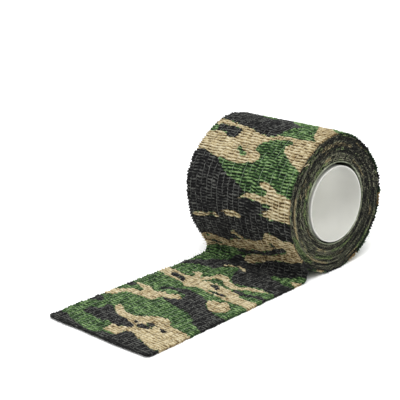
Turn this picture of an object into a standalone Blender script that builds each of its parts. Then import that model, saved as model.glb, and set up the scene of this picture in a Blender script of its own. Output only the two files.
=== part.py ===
"""A roll of crinkled cohesive wrap tape on a hollow plastic core, with a drawn-off tail lying flat.

The roll's axis lies along Y.  The tail runs from the foot of the roll towards -X and lies on Z = 0.
The frame's origin is the middle of the object's footprint.  Blender units are metres.
"""

import math

import bmesh
import bpy
from mathutils import Matrix, Vector

MM = 0.001

# Driving dimensions
TAPE_WIDTH = 50.0 * MM
ROLL_RADIUS = 25.0 * MM
TAIL_REACH = 93.0 * MM
TAPE_THICKNESS = 0.90 * MM
CORE_RADIUS = 13.9 * MM
CORE_WALL = 0.6 * MM
BEND_RADIUS = 2.5 * MM
BEND_REACH = 19.5 * MM

# The core stands loose in the liner, so it sits a little low and a little away from the tail
BORE_CLEARANCE = 0.85 * MM
CORE_DROP = 0.50 * MM
CORE_SHIFT = 0.45 * MM
CORE_EDGE_BEVEL = 0.10 * MM
LINER_WALL = 0.35 * MM

# Wound tape
OUTER_WRAP_THICKNESS = 0.75 * MM
WRAP_GAP = 0.10 * MM
WOUND_TURNS = 14
GROOVE_WIDTH = 0.12 * MM
GROOVE_DEPTH = 0.50 * MM

# Tape laminate: back web, elastic threads, face web
WEB_THICKNESS = 0.28 * MM
THREAD_RADIUS = 0.12 * MM
THREAD_COUNT = 18
THREAD_MARGIN = 2.05 * MM
THREAD_END_INSET = 0.4 * MM

# Clearances between solids that touch on the real tape
RING_CLEARANCE = 0.12 * MM
FOOT_GAP = 0.30 * MM
FOOT_LENGTH = 2.6 * MM
TAIL_CORNER_RADIUS = 1.6 * MM

# Facets, shading and display
RING_STEPS = 72
SPIRAL_STEPS_PER_TURN = 36
BEND_STEPS = 12
CORNER_STEPS = 5
THREAD_SIDES = 6
SMOOTH_ANGLE = math.radians(40)
THREAD_SMOOTH_ANGLE = math.radians(70)
EMPTY_SIZE = 10.0 * MM

# Worked out from the driving dimensions
HALF_WIDTH = TAPE_WIDTH / 2
ROLL_X = (TAIL_REACH - ROLL_RADIUS) / 2
ROLL_AXIS = Vector((ROLL_X, 0.0, ROLL_RADIUS))
CORE_AXIS = Vector((ROLL_X + CORE_SHIFT, 0.0, ROLL_RADIUS - CORE_DROP))
LINER_INNER = CORE_RADIUS + BORE_CLEARANCE
LINER_OUTER = LINER_INNER + LINER_WALL
OUTER_WRAP_INNER = ROLL_RADIUS - OUTER_WRAP_THICKNESS
TAIL_END_X = ROLL_X - TAIL_REACH
BEND_CENTRE_X = ROLL_X - BEND_REACH
BEND_CENTRE_Z = TAPE_THICKNESS + BEND_RADIUS
FOOT_END_X = BEND_CENTRE_X - FOOT_LENGTH
TAIL_START_X = FOOT_END_X - FOOT_GAP


def clear_scene():
    for obj in list(bpy.data.objects):
        bpy.data.objects.remove(obj, do_unlink=True)


def make_material(name, colour, roughness, metallic=0.0):
    material = bpy.data.materials.new(name)
    material.use_nodes = True
    shader = material.node_tree.nodes["Principled BSDF"]
    shader.inputs["Base Color"].default_value = (*colour, 1.0)
    shader.inputs["Roughness"].default_value = roughness
    shader.inputs["Metallic"].default_value = metallic
    material.diffuse_color = (*colour, 1.0)
    return material


def make_materials():
    return {
        "face": make_material("printed_web", (0.080, 0.160, 0.055), 0.92),
        "back": make_material("back_web", (0.100, 0.110, 0.075), 0.95),
        "wound": make_material("wound_edge", (0.070, 0.080, 0.050), 0.95),
        "thread": make_material("elastic_thread", (0.560, 0.600, 0.500), 0.60),
        "core": make_material("core_plastic", (0.680, 0.680, 0.650), 0.45),
        "liner": make_material("liner_paper", (0.360, 0.370, 0.320), 0.85),
    }


def make_empty(name, location, parent=None):
    empty = bpy.data.objects.new(name, None)
    empty.empty_display_size = EMPTY_SIZE
    bpy.context.collection.objects.link(empty)
    place(empty, location, parent)
    return empty


def place(obj, location, parent):
    """Put an object at a world position, under a parent empty that is only shifted, never turned."""
    parent_location = parent.matrix_world.translation if parent else Vector((0, 0, 0))
    obj.parent = parent
    obj.location = Vector(location) - parent_location
    bpy.context.view_layer.update()


def object_from_bmesh(bm, name, material, smooth_angle=None):
    bmesh.ops.recalc_face_normals(bm, faces=bm.faces)
    mesh = bpy.data.meshes.new(name)
    bm.to_mesh(mesh)
    bm.free()
    mesh.materials.append(material)
    if smooth_angle is not None:
        mesh.shade_smooth()
        mesh.set_sharp_from_angle(angle=smooth_angle)
    obj = bpy.data.objects.new(name, mesh)
    bpy.context.collection.objects.link(obj)
    return obj


def make_ring(name, inner, outer, material, bevel=0.0, steps=RING_STEPS):
    """A tube about its own Y axis, as wide as the tape, turned from a rectangular section."""
    bm = bmesh.new()
    corners = [(outer, -HALF_WIDTH), (outer, HALF_WIDTH), (inner, HALF_WIDTH), (inner, -HALF_WIDTH)]
    verts = [bm.verts.new((radius, y, 0.0)) for radius, y in corners]
    edges = [bm.edges.new((verts[i], verts[(i + 1) % len(verts)])) for i in range(len(verts))]
    bmesh.ops.spin(
        bm,
        geom=verts + edges,
        axis=(0, 1, 0),
        cent=(0, 0, 0),
        steps=steps,
        angle=2 * math.pi,
        use_merge=True,
    )
    obj = object_from_bmesh(bm, name, material, smooth_angle=SMOOTH_ANGLE)
    if bevel:
        modifier = obj.modifiers.new("rim_bevel", "BEVEL")
        modifier.width = bevel
        modifier.segments = 1
        modifier.limit_method = "ANGLE"
    return obj


def make_core(materials, parent):
    core = make_ring("core_tube", CORE_RADIUS - CORE_WALL, CORE_RADIUS, materials["core"], CORE_EDGE_BEVEL)
    place(core, CORE_AXIS, parent)


def make_liner(materials, parent):
    liner = make_ring("core_liner", LINER_INNER, LINER_OUTER, materials["liner"])
    place(liner, ROLL_AXIS, parent)


def make_outer_wrap(materials, parent):
    wrap = make_ring("outer_wrap", OUTER_WRAP_INNER, ROLL_RADIUS, materials["face"])
    place(wrap, ROLL_AXIS, parent)


def skin_rings(bm, rings):
    """Join a run of four-cornered rings into a closed strip with a cap at each end."""
    for ring, following in zip(rings, rings[1:]):
        for i in range(4):
            j = (i + 1) % 4
            bm.faces.new((ring[i], ring[j], following[j], following[i]))
    bm.faces.new(rings[0])
    bm.faces.new(rings[-1])


def strip_between(outer_line, inner_line, name, material):
    """A strip across the tape's width between two matching lines of (x, z) points, built from quads."""
    bm = bmesh.new()
    rings = []
    for outer_point, inner_point in zip(outer_line, inner_line):
        (x_out, z_out), (x_in, z_in) = outer_point, inner_point
        corners = [
            (x_out, -HALF_WIDTH, z_out),
            (x_out, HALF_WIDTH, z_out),
            (x_in, HALF_WIDTH, z_in),
            (x_in, -HALF_WIDTH, z_in),
        ]
        rings.append([bm.verts.new(corner) for corner in corners])
    skin_rings(bm, rings)
    return object_from_bmesh(bm, name, material, smooth_angle=SMOOTH_ANGLE)


def make_groove_cutter(name, first_radius, pitch, near_y, far_y, material, parent):
    """A thin spiral wall that cuts the line between one turn's edge and the next."""
    bm = bmesh.new()
    rings = []
    for step in range(WOUND_TURNS * SPIRAL_STEPS_PER_TURN + 1):
        turn = step / SPIRAL_STEPS_PER_TURN
        angle = 2 * math.pi * turn
        inner = first_radius + pitch * turn
        outer = inner + GROOVE_WIDTH
        corners = [(outer, near_y), (outer, far_y), (inner, far_y), (inner, near_y)]
        rings.append(
            [bm.verts.new((radius * math.cos(angle), y, radius * math.sin(angle))) for radius, y in corners]
        )
    skin_rings(bm, rings)
    cutter = object_from_bmesh(bm, name, material)
    cutter.hide_render = True
    cutter.display_type = "WIRE"
    place(cutter, ROLL_AXIS, parent)
    return cutter


def make_wound_tape(materials, parent):
    """The inner turns, which cling together into one body, with a spiral groove in each end."""
    inner = LINER_OUTER + WRAP_GAP
    outer = OUTER_WRAP_INNER - WRAP_GAP
    pitch = (outer - inner) / (WOUND_TURNS + 1)
    tape = make_ring("wound_tape", inner, outer, materials["wound"], steps=SPIRAL_STEPS_PER_TURN)
    place(tape, ROLL_AXIS, parent)
    for side, label in ((-1, "near"), (1, "far")):
        near_y, far_y = sorted((side * (HALF_WIDTH - GROOVE_DEPTH), side * (HALF_WIDTH + GROOVE_DEPTH)))
        cutter = make_groove_cutter(
            f"wound_groove_{label}", inner + pitch / 2, pitch, near_y, far_y, materials["wound"], parent
        )
        cut = tape.modifiers.new(f"{label}_groove", "BOOLEAN")
        cut.operation = "DIFFERENCE"
        cut.object = cutter


def peel_geometry():
    """The straight that leaves the roll and meets the bend: its start, direction and length.

    The printed face follows the roll's outside, then a straight that is tangent both to the roll and,
    from the other side, to the bend's inner circle.
    """
    to_bend = Vector((BEND_CENTRE_X - ROLL_AXIS.x, BEND_CENTRE_Z - ROLL_AXIS.z))
    reach = to_bend.length
    bearing = math.atan2(to_bend.y, to_bend.x)
    peel_angle = bearing - math.acos((ROLL_RADIUS + BEND_RADIUS) / reach)
    start = Vector((ROLL_AXIS.x, ROLL_AXIS.z)) + ROLL_RADIUS * Vector(
        (math.cos(peel_angle), math.sin(peel_angle))
    )
    direction = Vector((-math.sin(peel_angle), math.cos(peel_angle)))
    length = math.sqrt(reach**2 - (ROLL_RADIUS + BEND_RADIUS) ** 2)
    return start, direction, length, peel_angle


def run_for_depth(depth):
    """The run from the peel line at which a layer of this depth clears the roll."""
    needed = ROLL_RADIUS + depth + RING_CLEARANCE
    return math.sqrt(needed**2 - ROLL_RADIUS**2)


def bend_line(depth, first_run):
    """Points of the bend at a depth below the printed face, from the straight to the foot's end."""
    start, direction, length, peel_angle = peel_geometry()
    towards_roll = Vector((-math.cos(peel_angle), -math.sin(peel_angle)))
    radius = BEND_RADIUS + depth
    entry_angle = peel_angle + math.pi
    exit_angle = -math.pi / 2
    points = [start + direction * first_run + towards_roll * depth]
    for step in range(BEND_STEPS + 1):
        angle = entry_angle + (exit_angle - entry_angle) * step / BEND_STEPS
        points.append(
            Vector((BEND_CENTRE_X + radius * math.cos(angle), BEND_CENTRE_Z + radius * math.sin(angle)))
        )
    points.append(Vector((FOOT_END_X, TAPE_THICKNESS - depth)))
    return [(point.x, point.y) for point in points]


def make_bend_web(name, top_depth, material, parent):
    """One web of the peel bend, starting where it clears the turning roll."""
    bottom_depth = top_depth + WEB_THICKNESS
    first_run = run_for_depth(bottom_depth)
    web = strip_between(
        bend_line(top_depth, first_run), bend_line(bottom_depth, first_run), name, material
    )
    place(web, (0, 0, 0), parent)


def tail_outline():
    """The tail seen from above: square at the bend, slightly rounded at the free end's corners."""
    points = [(TAIL_START_X, -HALF_WIDTH), (TAIL_START_X, HALF_WIDTH)]
    corner_x = TAIL_END_X + TAIL_CORNER_RADIUS
    for side in (1, -1):
        corner_y = side * (HALF_WIDTH - TAIL_CORNER_RADIUS)
        for step in range(CORNER_STEPS + 1):
            swing = math.pi / 2 * step / CORNER_STEPS
            angle = math.pi / 2 + swing if side > 0 else math.pi + swing
            points.append(
                (
                    corner_x + TAIL_CORNER_RADIUS * math.cos(angle),
                    corner_y + TAIL_CORNER_RADIUS * math.sin(angle),
                )
            )
    return points


def make_tail_web(name, bottom, material, parent):
    bm = bmesh.new()
    face = bm.faces.new([bm.verts.new((x, y, bottom)) for x, y in tail_outline()])
    raised = bmesh.ops.extrude_face_region(bm, geom=[face])
    top = [item for item in raised["geom"] if isinstance(item, bmesh.types.BMVert)]
    bmesh.ops.translate(bm, verts=top, vec=(0, 0, WEB_THICKNESS))
    web = object_from_bmesh(bm, name, material)
    place(web, (0, 0, 0), parent)


def make_tail_threads(materials, parent):
    """The elastic threads of the tail, evenly spaced across the width between the two webs."""
    first_x = TAIL_END_X + THREAD_END_INSET
    last_x = TAIL_START_X - THREAD_END_INSET
    spacing = (TAPE_WIDTH - 2 * THREAD_MARGIN) / (THREAD_COUNT - 1)
    for index in range(THREAD_COUNT):
        y = -HALF_WIDTH + THREAD_MARGIN + spacing * index
        bm = bmesh.new()
        bmesh.ops.create_cone(
            bm,
            cap_ends=True,
            segments=THREAD_SIDES,
            radius1=THREAD_RADIUS,
            radius2=THREAD_RADIUS,
            depth=last_x - first_x,
            matrix=Matrix.Rotation(math.pi / 2, 4, "Y"),
        )
        name = f"tail_thread_{index + 1:02d}"
        thread = object_from_bmesh(bm, name, materials["thread"], smooth_angle=THREAD_SMOOTH_ANGLE)
        place(thread, ((first_x + last_x) / 2, y, TAPE_THICKNESS / 2), parent)


def main():
    clear_scene()
    materials = make_materials()
    roll = make_empty("roll_turn_axis", ROLL_AXIS)
    core = make_empty("core_turn_axis", CORE_AXIS)
    tail = make_empty("tape_draw_frame", (TAIL_START_X, 0, 0))
    peel = make_empty("peel_frame", (BEND_CENTRE_X, 0, 0))

    make_core(materials, core)
    make_liner(materials, roll)
    make_wound_tape(materials, roll)
    make_outer_wrap(materials, roll)
    make_bend_web("bend_face_web", 0.0, materials["face"], peel)
    make_bend_web("bend_back_web", TAPE_THICKNESS - WEB_THICKNESS, materials["back"], peel)
    make_tail_web("tail_face_web", TAPE_THICKNESS - WEB_THICKNESS, materials["face"], tail)
    make_tail_web("tail_back_web", 0.0, materials["back"], tail)
    make_tail_threads(materials, tail)


main()
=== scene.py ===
"""Looks of a roll of camouflage cohesive wrap tape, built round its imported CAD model.

Tape coordinates are millimetres: s runs along the printed side from the tail's free end, through the
bend and on round the roll, and v runs across the width, the same as Y.  Meshes are in metres.
"""

import math

import bpy
import numpy as np
from mathutils import Matrix, Vector


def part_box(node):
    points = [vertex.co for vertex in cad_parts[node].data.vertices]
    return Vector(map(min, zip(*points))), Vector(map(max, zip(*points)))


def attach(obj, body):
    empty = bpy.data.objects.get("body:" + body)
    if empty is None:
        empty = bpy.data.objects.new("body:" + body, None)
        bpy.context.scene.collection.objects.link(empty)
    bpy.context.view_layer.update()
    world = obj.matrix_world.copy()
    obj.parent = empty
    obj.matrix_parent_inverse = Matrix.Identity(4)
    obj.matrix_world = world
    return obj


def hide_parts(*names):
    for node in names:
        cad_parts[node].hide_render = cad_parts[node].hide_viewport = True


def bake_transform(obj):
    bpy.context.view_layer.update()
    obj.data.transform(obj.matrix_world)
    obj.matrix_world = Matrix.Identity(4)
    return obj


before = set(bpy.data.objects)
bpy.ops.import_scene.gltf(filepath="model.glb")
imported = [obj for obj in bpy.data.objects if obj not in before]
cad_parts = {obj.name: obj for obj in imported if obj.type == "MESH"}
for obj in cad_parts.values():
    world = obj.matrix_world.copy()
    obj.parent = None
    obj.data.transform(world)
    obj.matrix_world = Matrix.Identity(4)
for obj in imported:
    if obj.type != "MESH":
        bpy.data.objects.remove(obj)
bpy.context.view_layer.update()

MM = 0.001
TAU = 2 * math.pi

# -------- sizes, from the frame where it has them

roll_low, roll_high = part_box("outer_wrap")
core_low, core_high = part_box("core_tube")
liner_low, liner_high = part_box("core_liner")
bend_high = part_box("bend_back_web")[1]
tail_low, tail_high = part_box("tail_face_web")

HALF_WIDTH = roll_high.y / MM
ROLL_X = (roll_low.x + roll_high.x) / 2 / MM
ROLL_Z = (roll_low.z + roll_high.z) / 2 / MM
ROLL_RADIUS = (roll_high.x - roll_low.x) / 2 / MM
CORE_X = (core_low.x + core_high.x) / 2 / MM
CORE_Z = (core_low.z + core_high.z) / 2 / MM
CORE_RADIUS = (core_high.x - core_low.x) / 2 / MM
CORE_WALL = 0.6
LINER_RADIUS = (liner_high.x - liner_low.x) / 2 / MM
LINER_WALL = 0.35
TAPE_THICKNESS = tail_high.z / MM
BEND_RADIUS = 2.5
BEND_X = bend_high.x / MM - BEND_RADIUS - TAPE_THICKNESS
BEND_Z = TAPE_THICKNESS + BEND_RADIUS
TAIL_END_X = tail_low.x / MM
CIRCUMFERENCE = TAU * ROLL_RADIUS

# Where each stretch of the printed side begins, in s
reach = math.hypot(BEND_X - ROLL_X, BEND_Z - ROLL_Z)
bearing = math.atan2(BEND_Z - ROLL_Z, BEND_X - ROLL_X)
PEEL_ANGLE = bearing - math.acos((ROLL_RADIUS + BEND_RADIUS) / reach)
STRAIGHT_LENGTH = math.sqrt(reach**2 - (ROLL_RADIUS + BEND_RADIUS) ** 2)
BEND_SWEEP = PEEL_ANGLE + 1.5 * math.pi
BEND_START = BEND_X - TAIL_END_X
STRAIGHT_START = BEND_START + BEND_RADIUS * BEND_SWEEP
PEEL_S = STRAIGHT_START + STRAIGHT_LENGTH

# Crinkle of the web
ROWS_PER_TURN = 136
ROW_PITCH = CIRCUMFERENCE / ROWS_PER_TURN
THREAD_COUNT = 18
THREAD_PITCH = 2.7
THREAD_FIRST = -THREAD_PITCH * (THREAD_COUNT - 1) / 2
CREASE_WIDTH = 0.26
MEAN_LIFT = 0.43
RIDGE_LIFT = 0.40
CREASE_DROP = 0.56
PUFF_HEIGHT = 0.72
PUFF_SINK = 0.34
STEP_S = 0.17
STEP_V = 0.52
BACK_RATIO = 4

# The free end stands a little off the surface, and nothing goes lower than the gap
END_CURL = 0.45
END_CURL_REACH = 7
FLOOR_GAP = 0.02

# The roll isn't quite round: place and spread in degrees, and how far in it goes there, at the near end
# and over the rest of the width (minus is out)
OUT_OF_ROUND = [(42, 24, 0.88, 0.10), (86, 21, -0.26, -0.42), (123, 12, 0.34, 0.48),
                (158, 16, -0.15, -0.50), (212, 12, 0, -0.25), (-10, 22, -0.42, -0.25)]
NEAR_END_REACH = 9

# -------- the print

# Patches of the camouflage in tape coordinates, painted in this order over green
PATCHES = [
    ("tan", [(5, 2.2), (9.6, 1.8), (10.2, -1.8), (12.4, -4), (13.6, -2.2), (14.6, 0.2), (14.8, 3.5),
        (15.4, 7.2), (17.6, 11), (19.4, 12.9), (21.3, 12.6), (20.2, 8.6), (18.9, 6.2), (18.5, 2.5),
        (18.8, 0.2), (20.9, -2.6), (22.4, -5.6), (23, -9), (22.4, -12), (20.6, -13.4), (19.5, -16.5),
        (19.8, -20), (19.4, -22.6), (18.4, -24), (17, -28), (3, -28), (4.5, -20), (6, -16), (7, -12),
        (4.6, -5), (4.2, -2.5), (4.9, 0)]),
    ("dark", [(-3, 28), (5.5, 28), (5.2, 22), (4.3, 19), (3.2, 16), (2.2, 12.5), (1.2, 9), (0.8, 5),
        (1.3, 2), (2.6, 0), (3.6, -2.5), (4.4, -5), (8, -5.3), (8.5, -7.5), (8, -10), (7, -13), (6, -16),
        (5, -19), (4.3, -22), (4.1, -28), (-3, -28)]),
    ("dark", [(10.3, 19.2), (14.5, 19.2), (15.1, 15.9), (18.6, 15.6), (18.9, 13.2), (17.5, 10.7),
        (16.3, 8.4), (15.3, 6.4), (14.9, 3), (14.3, 0.2), (13.2, -2.2), (12.3, -4.4), (11.3, -4),
        (10.2, -2.2), (9.8, 1), (9.6, 5), (9.2, 9), (9.3, 12), (9.9, 15.5)]),
    ("dark", [(13.2, -5.3), (14.8, -5.2), (15.2, -8), (14.8, -10.7), (13.7, -9.6), (12.9, -7.5)]),
    ("dark", [(15.6, -7.8), (17, -6.5), (17.5, -8.6), (17.1, -10.9), (15.9, -10.2)]),
    ("dark", [(15, -1.7), (15.7, -2.2), (15.5, -3.6), (14.9, -3)]),
    ("dark", [(16.5, -13.4), (15.5, -14.9), (15.2, -16.9), (16, -17), (16.4, -15.2)]),
    ("dark", [(18, 28), (18.2, 22.8), (20, 21.1), (21.9, 21.3), (22.8, 24), (23.4, 28)]),
    ("tan", [(25.4, 28), (30.2, 24.4), (31.8, 21.8), (33.4, 20), (34, 17), (35, 15.4), (36.2, 17.2),
        (37.2, 20.2), (38, 21.8), (38.6, 21.2), (38.2, 18), (38.6, 15.8), (37.3, 13), (37.1, 10.8),
        (38.2, 9), (38.3, 6.8), (37.7, 5.4), (39.3, 3.2), (39.4, 1.2), (38.2, -0.6), (37.2, -0.8), (35.8, 1),
        (35.3, 4.6), (34.6, 6.2), (32.6, 6.6), (30.7, 7.4), (30.9, 12), (30.8, 17), (29.9, 19.2),
        (27.8, 20.2), (26.4, 21.8), (25.3, 24.5)]),
    ("dark", [(34.9, 28), (34.9, 23.5), (35.8, 21.2), (36.8, 20.8), (37.7, 22.8), (38.4, 25), (38.4, 28)]),
    ("dark", [(34.3, 6), (35, 5.2), (35.7, 2), (36.8, -0.2), (38.2, -1.3), (39.6, -0.6), (40.9, 2.2),
        (41.1, 5.5), (40.9, 8.5), (40, 10.5), (40.1, 12.6), (41.2, 12.2), (42.6, 10), (43.2, 7.2), (44.2, 5),
        (44.8, 2.5), (44.4, -1), (44.2, -3.5), (43, -6), (41.8, -9.5), (40.2, -10.8), (38.2, -13),
        (36.8, -16), (36, -18.5), (34.5, -21), (33.8, -28), (23.4, -28), (24.3, -22), (25.6, -19),
        (28.2, -16), (30.2, -12.5), (31.4, -8.5), (32.3, -4.5), (33.2, -0.5), (33.9, 3)]),
    ("tan", [(40.2, -11), (42.3, -9.8), (43.2, -11.5), (43.6, -14), (44.8, -15.3), (44.2, -17.8),
        (42.6, -19.6), (41.3, -21), (39.4, -21.2), (37.4, -19.6), (37.2, -17.5), (36.6, -15),
        (38.7, -12.9)]),
    ("tan", [(50.4, 28), (54.7, 28), (54.9, 20), (54.6, 16), (53.8, 12.6), (54.6, 10.6), (56.4, 11.4),
        (57.7, 13.7), (58.6, 11.4), (58.6, 9.4), (57.2, 8.6), (55.8, 7.6), (54, 6), (53.4, 4), (54.3, 2),
        (54.3, -1), (53.7, -6), (53.1, -9.5), (52.6, -12.8), (51.2, -16), (50, -19), (50, -28), (44.4, -28),
        (46.2, -21.5), (45.9, -17), (46.3, -13), (47, -9), (47.6, -3), (48, 1.5), (47.5, 4), (46.2, 5.6),
        (47.4, 8.6), (48.6, 11), (49, 15), (49.6, 19.5), (50.3, 23)]),
    ("tan", [(54.2, 6.6), (55.8, 7), (57.4, 6.2), (57.6, 5), (58.8, 4.2), (60.4, 4.8), (61.4, 5.3),
        (61.6, 1.5), (61.2, -1), (58.8, -3.8), (57.6, -6.2), (57, -9), (57.4, -11), (59, -13.2), (59.6, -16),
        (60, -21.3), (58.8, -21.6), (57.8, -18.6), (57.5, -15.4), (55.8, -13), (54.9, -10), (55.2, -5.6),
        (56.8, -3), (58.4, -0.2), (58.6, 2), (56.4, 2.9), (55.2, 3.8), (54.6, 5)]),
    ("dark", [(52.6, 19.9), (50.9, 17.5), (50.6, 14.5), (49.9, 12.5), (50, 10.3), (51.2, 10.5), (52.3, 12.5),
        (52.7, 15), (53.3, 17.5)]),
    ("dark", [(53, 0.3), (51.8, -1.5), (51.6, -3.5), (50.6, -4.9), (51.5, -5.3), (52.7, -4), (53.1, -2)]),
    ("dark", [(48.6, -3.3), (47.9, -5.5), (48.2, -7.5), (47.8, -10), (48.2, -12.3), (48.9, -10.5),
        (49.4, -7.5), (48.9, -5.5)]),
    ("dark", [(53.9, -9.8), (52.6, -12.4), (51.9, -15.5), (52.6, -18.5), (53.3, -23), (53.2, -28),
        (55.2, -28), (54.9, -19), (54.4, -15.5), (54.8, -12)]),
    ("dark", [(60.3, 24.2), (62.6, 19.5), (64, 15.5), (64.3, 11.5), (65.6, 8.6), (68.2, 6.6), (69.6, 4.6),
        (69.8, 2.4), (66.6, 0.9), (64, -0.9), (61.4, -2.6), (59.4, -4.8), (58.8, -8), (59.3, -12),
        (60.4, -16.5), (60.2, -21), (59.3, -28), (67, -28), (68, -23), (68.6, -18), (70, -13.5),
        (71.6, -12.4), (72.6, -15), (74, -18.4), (75.4, -22), (77, -28), (86, -28), (84, -22.5), (80.8, -19),
        (80.4, -13), (78.8, -8), (76.4, -2), (75, 2.2), (76.3, 5), (77.4, 7.2), (76.4, 9.6), (73.6, 11.6),
        (71.4, 15.2), (68.6, 18.2), (66.8, 21.4), (64.5, 23.6)]),
    ("tan", [(68.4, 8.6), (69.8, 8.9), (70.6, 6.6), (71.4, 4.6), (71.3, 1.4), (70.2, -1.4), (68.4, -3),
        (68.3, -1.6), (69.4, 0.8), (70.2, 3.4), (69.6, 5.6)]),
    ("tan", [(70.2, -23), (71.2, -21), (72.6, -23), (73.2, -28), (69.4, -28)]),
    ("tan", [(77.4, 28), (78.4, 20.5), (79.6, 15.5), (80, 11), (80.8, 7), (81.6, 2), (82.8, -3), (84.2, -9),
        (86.4, -13), (88, -16.4), (88.2, -19), (86.6, -19.6), (85, -17.4), (82.8, -12.6), (81.3, -7.6),
        (80.4, -1.6), (78.6, 2), (76.4, 4.6), (75, 3.2), (76.2, -2), (78.5, -8), (80.2, -13), (80.3, -18.6),
        (82.4, -23), (84, -28), (93.2, -28), (92.6, -21.5), (93.6, -17.4), (94.1, -15.4), (93.3, -12),
        (91.4, -10.8), (89.6, -8.4), (88.5, -3), (87.2, 0.6), (86.5, 5), (84.6, 9.4), (84.6, 13.6),
        (85.4, 18), (85.8, 28)]),
    ("dark", [(79.6, 9), (81.6, 0), (84, -9), (87.5, -15.5), (88.4, -19), (87.2, -19.9), (84.8, -15.5),
        (81.8, -9), (80.4, -2), (78.8, 4)]),
    ("dark", [(80.2, 21.6), (80.2, 18), (80.7, 15.4), (81.4, 15.8), (81.2, 19), (81, 21.4)]),
    ("green", [(83.2, 21.6), (84.2, 22.2), (84.9, 20.4), (84.3, 18.6), (83.5, 19.6)]),
    ("dark", [(88.1, -14.8), (88.8, -13.4), (89.9, -14.1), (89.6, -14.9), (88.5, -15.6)]),
    ("dark", [(85.9, 28), (85.6, 20), (84.8, 14.5), (84.5, 10), (86.2, 6.4), (87, 2.6), (88.4, -0.9),
        (88.9, -5), (89.8, -9), (91.6, -11), (93.5, -12), (94.3, -15.6), (93, -19), (92.8, -22), (93.4, -28),
        (101.2, -28), (101.2, -18), (102.4, -15), (103.9, -15.5), (105.4, -10.5), (105.6, -5), (107.6, -4.9),
        (109, -2.6), (110.3, -0.6), (111, 3), (112.3, 6.2), (114.4, 9.4), (116.4, 11.6), (117.6, 13.4),
        (118.5, 17), (119.3, 21), (120, 28)]),
    ("tan", [(89.6, 5.8), (88.9, 3.4), (88, 1.6), (86, 0.6), (87.2, -1.4), (89.4, 0.3), (90.2, 2.3),
        (91.2, 3.8), (90.6, 5.2)]),
    ("tan", [(104.8, -0.7), (106, -2.3), (107, -3.8), (107.9, -7), (107.8, -10.5), (107.7, -13.2),
        (108.8, -14.7), (110, -14.2), (111.2, -11.6), (111.9, -10.4), (112.7, -13.6), (111.6, -16.8),
        (110.3, -18.8), (109.3, -21.4), (107.8, -28), (99, -28), (100.3, -23), (100.1, -18), (100.3, -14.5),
        (101, -11.7), (101.7, -13.4), (102.4, -11.9), (102.9, -14.6), (103.8, -16.2), (105.1, -16.4),
        (105.5, -11.5), (106.1, -8), (105.6, -4.5)]),
    ("tan", [(93.7, 23.4), (93.1, 21.2), (93.8, 18.2), (94.9, 15.6), (95.5, 12.5), (95.9, 9.3), (96.9, 10.6),
        (96.9, 13.4), (95.8, 17), (95.3, 20.4), (94.8, 22.6)]),
    ("tan", [(98.4, 8.1), (97.5, 5.4), (97.3, 1.5), (97.4, -1.6), (98.6, -1.7), (99.5, 0.5), (99.8, 3.2),
        (99.3, 5.8)]),
    ("tan", [(120.3, 28), (119.4, 20.5), (118.2, 16), (117.6, 11.5), (117, 6), (117.3, 2), (118.4, -2.6),
        (119.7, -5), (121.6, -4.6), (123.2, -2.6), (124.8, -1.4), (126.8, -1.5), (128.4, -3.6),
        (129.5, -6.4), (130.7, -9.4), (130.9, -12.4), (129.8, -14.6), (127.6, -13.3), (124.7, -14.3),
        (123.2, -16.4), (121.4, -20.2), (119.6, -24), (118, -28), (132.1, -28), (132.6, -19), (132.4, -13),
        (131.9, -8.5), (131.2, -4.8), (130.9, -1), (131.6, 3), (132.9, 7.5), (133.2, 11.5), (134.3, 16.5),
        (135.3, 21.5), (137.2, 28)]),
    ("green", [(120.6, 1.2), (120.4, 3.2), (121.4, 4.8), (122.3, 6.5), (124.1, 6.9), (123, 4.6),
        (121.9, 2.8), (121.3, 1.2)]),
    ("dark", [(128.8, 22.5), (128.8, 19.5), (128.4, 16.4), (127, 14.8), (127.3, 12), (129.4, 10.7),
        (131.2, 11), (132, 14), (132, 18.5), (132, 21.5), (130.6, 23)]),
    ("green", [(127, 28), (127.9, 24.8), (128.6, 22.6), (130.2, 21.8), (131.8, 23.2), (132, 25.4),
        (132, 28)]),
    ("dark", [(137.3, 28), (135.4, 21.5), (134.3, 16.5), (133.3, 11.5), (132.8, 7), (131.6, 3), (130.9, -1),
        (131.2, -4.6), (133, -6.2), (136.2, -7.2), (138.8, -9.3), (140.4, -11.2), (141.2, -8), (142, -5.2),
        (145, -2.4), (149, 1.4), (152, 5), (154, 10), (155, 17), (156, 28)]),
    ("green", [(144.4, 4.4), (145.8, 8), (148.2, 12), (151.4, 16.4), (152.6, 21), (149.8, 20), (146.6, 15),
        (144.2, 9.4)]),
    ("tan", [(133, -23), (135.4, -20.2), (139, -18.4), (144, -15), (147.4, -11.6), (150.4, -9.8),
        (152.6, -11.4), (151, -15), (147.4, -17.2), (145.6, -20.4), (143, -23), (141.6, -28), (132.3, -28)]),
]

# A patch that comes within this much of the peel line is printed again one turn on, so that the roll's
# outside closes; one further down the tail is printed on the roll's far side, flipped across the width
SEAM_MARGIN = 20
EDGE_REACH = 1.6
OUTLINE_STEPS = 4


# -------- hashes, noises and curves

# Large odd numbers that the hash multiplies by, and the bits that it keeps
HASH_FIRST, HASH_SECOND, HASH_SEED = 374761393, 668265263, 974634777
HASH_MIX, HASH_REMIX = 1274126177, 2246822519
HASH_BITS, RESULT_BITS = 0xFFFFFFFF, 0xFFFFFF

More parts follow.
